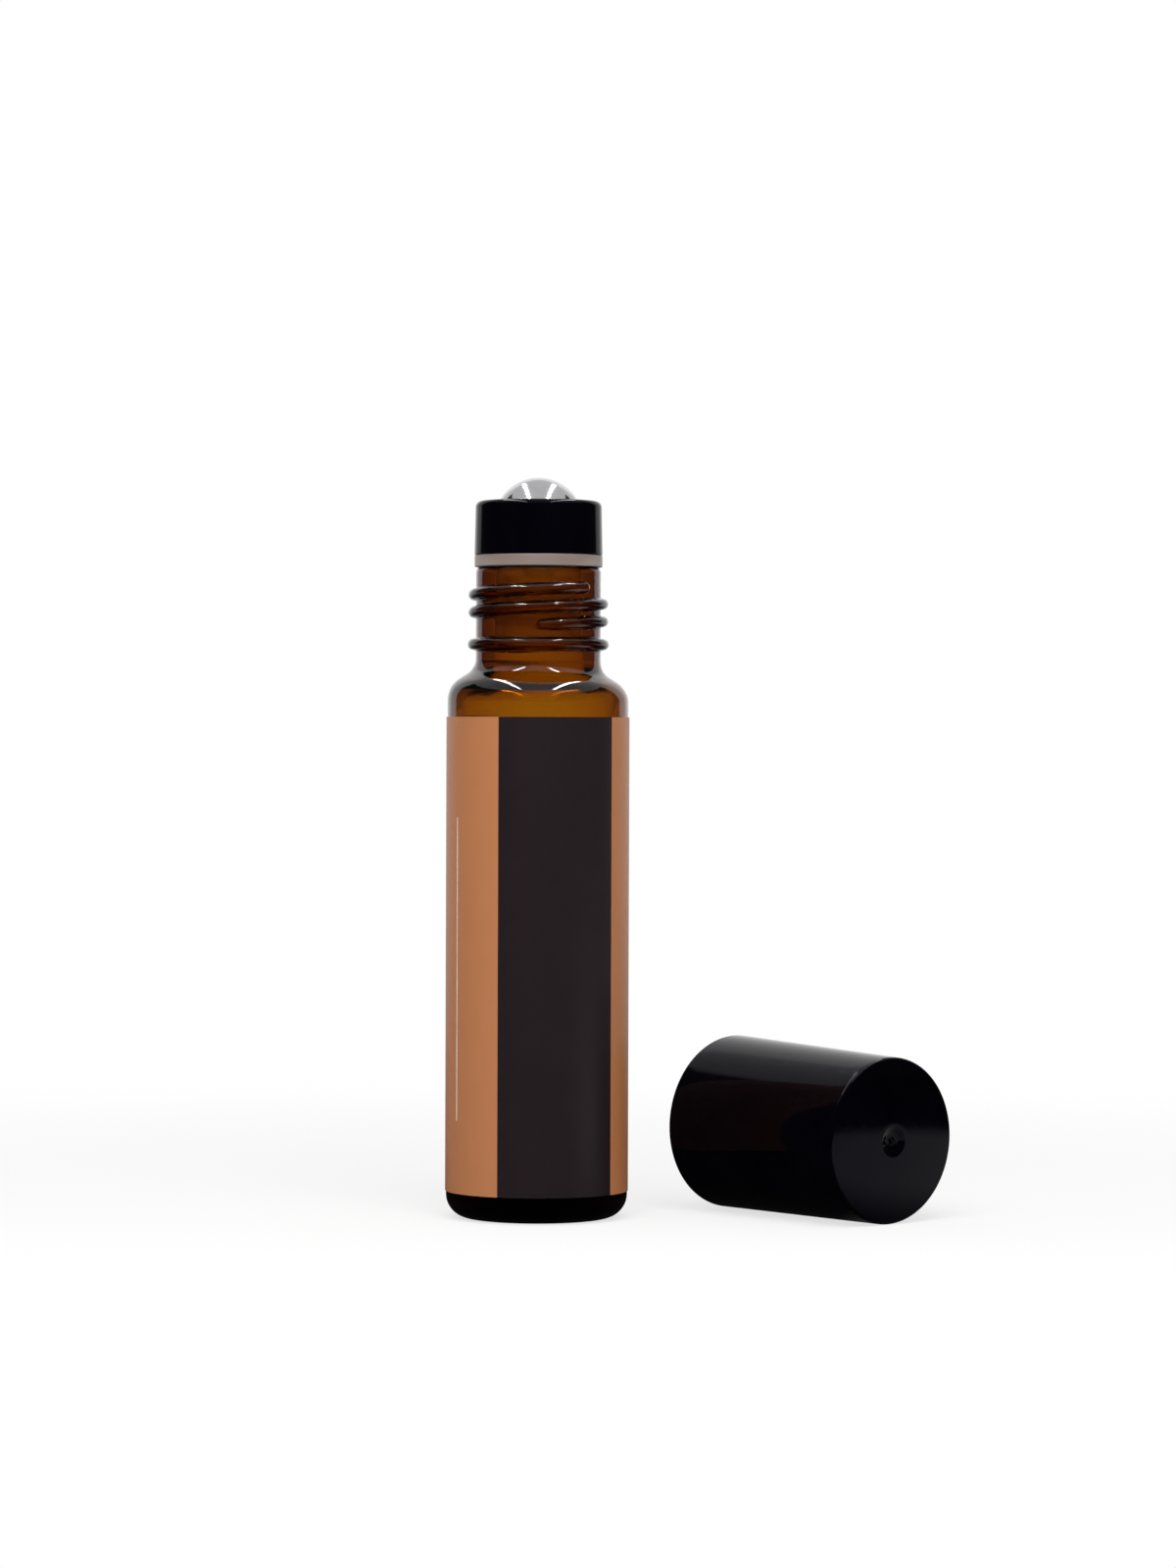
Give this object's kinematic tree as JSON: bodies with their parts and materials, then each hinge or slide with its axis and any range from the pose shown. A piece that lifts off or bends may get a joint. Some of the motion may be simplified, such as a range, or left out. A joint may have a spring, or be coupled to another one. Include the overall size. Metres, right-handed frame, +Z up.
{
  "type": "roll on bottle",
  "caption": "Slim amber glass roll on bottle with a wrapped label, a steel roller ball in a black housing, and its black screw cap lying beside it.",
  "frame": {"origin": "centre of the bottle's base, on the surface that it stands on", "axes": "+Z up the bottle's axis, -Y towards the front of the label, +X towards the cap that lies beside it"},
  "size_m": [0.0556, 0.0317, 0.0816],
  "materials": {
    "amber_glass": "gloss",
    "label_stock": "satin",
    "natural_plastic": "satin",
    "black_housing": "gloss",
    "steel": "polished",
    "black_cap": "gloss",
    "oil": "gloss"
  },
  "bodies": {
    "bottle": {"glass_bottle": "amber_glass", "wrap_label": "label_stock", "sealing_plug": "natural_plastic", "roller_housing": "black_housing", "oil_fill": "oil"},
    "ball": {"roller_ball": "steel"},
    "cap": {"screw_cap": "black_cap"}
  },
  "joints": [
    {"name": "ball_roll", "type": "hinge", "parent": "bottle", "child": "ball", "pos_m": [0, 0, 0.07661], "axis": [1, 0, 0], "continuous": true},
    {"name": "cap_lift", "type": "slide", "parent": "bottle", "child": "cap", "axis": [0, 0, 1], "range_m": [0, 0.09]}
  ]
}
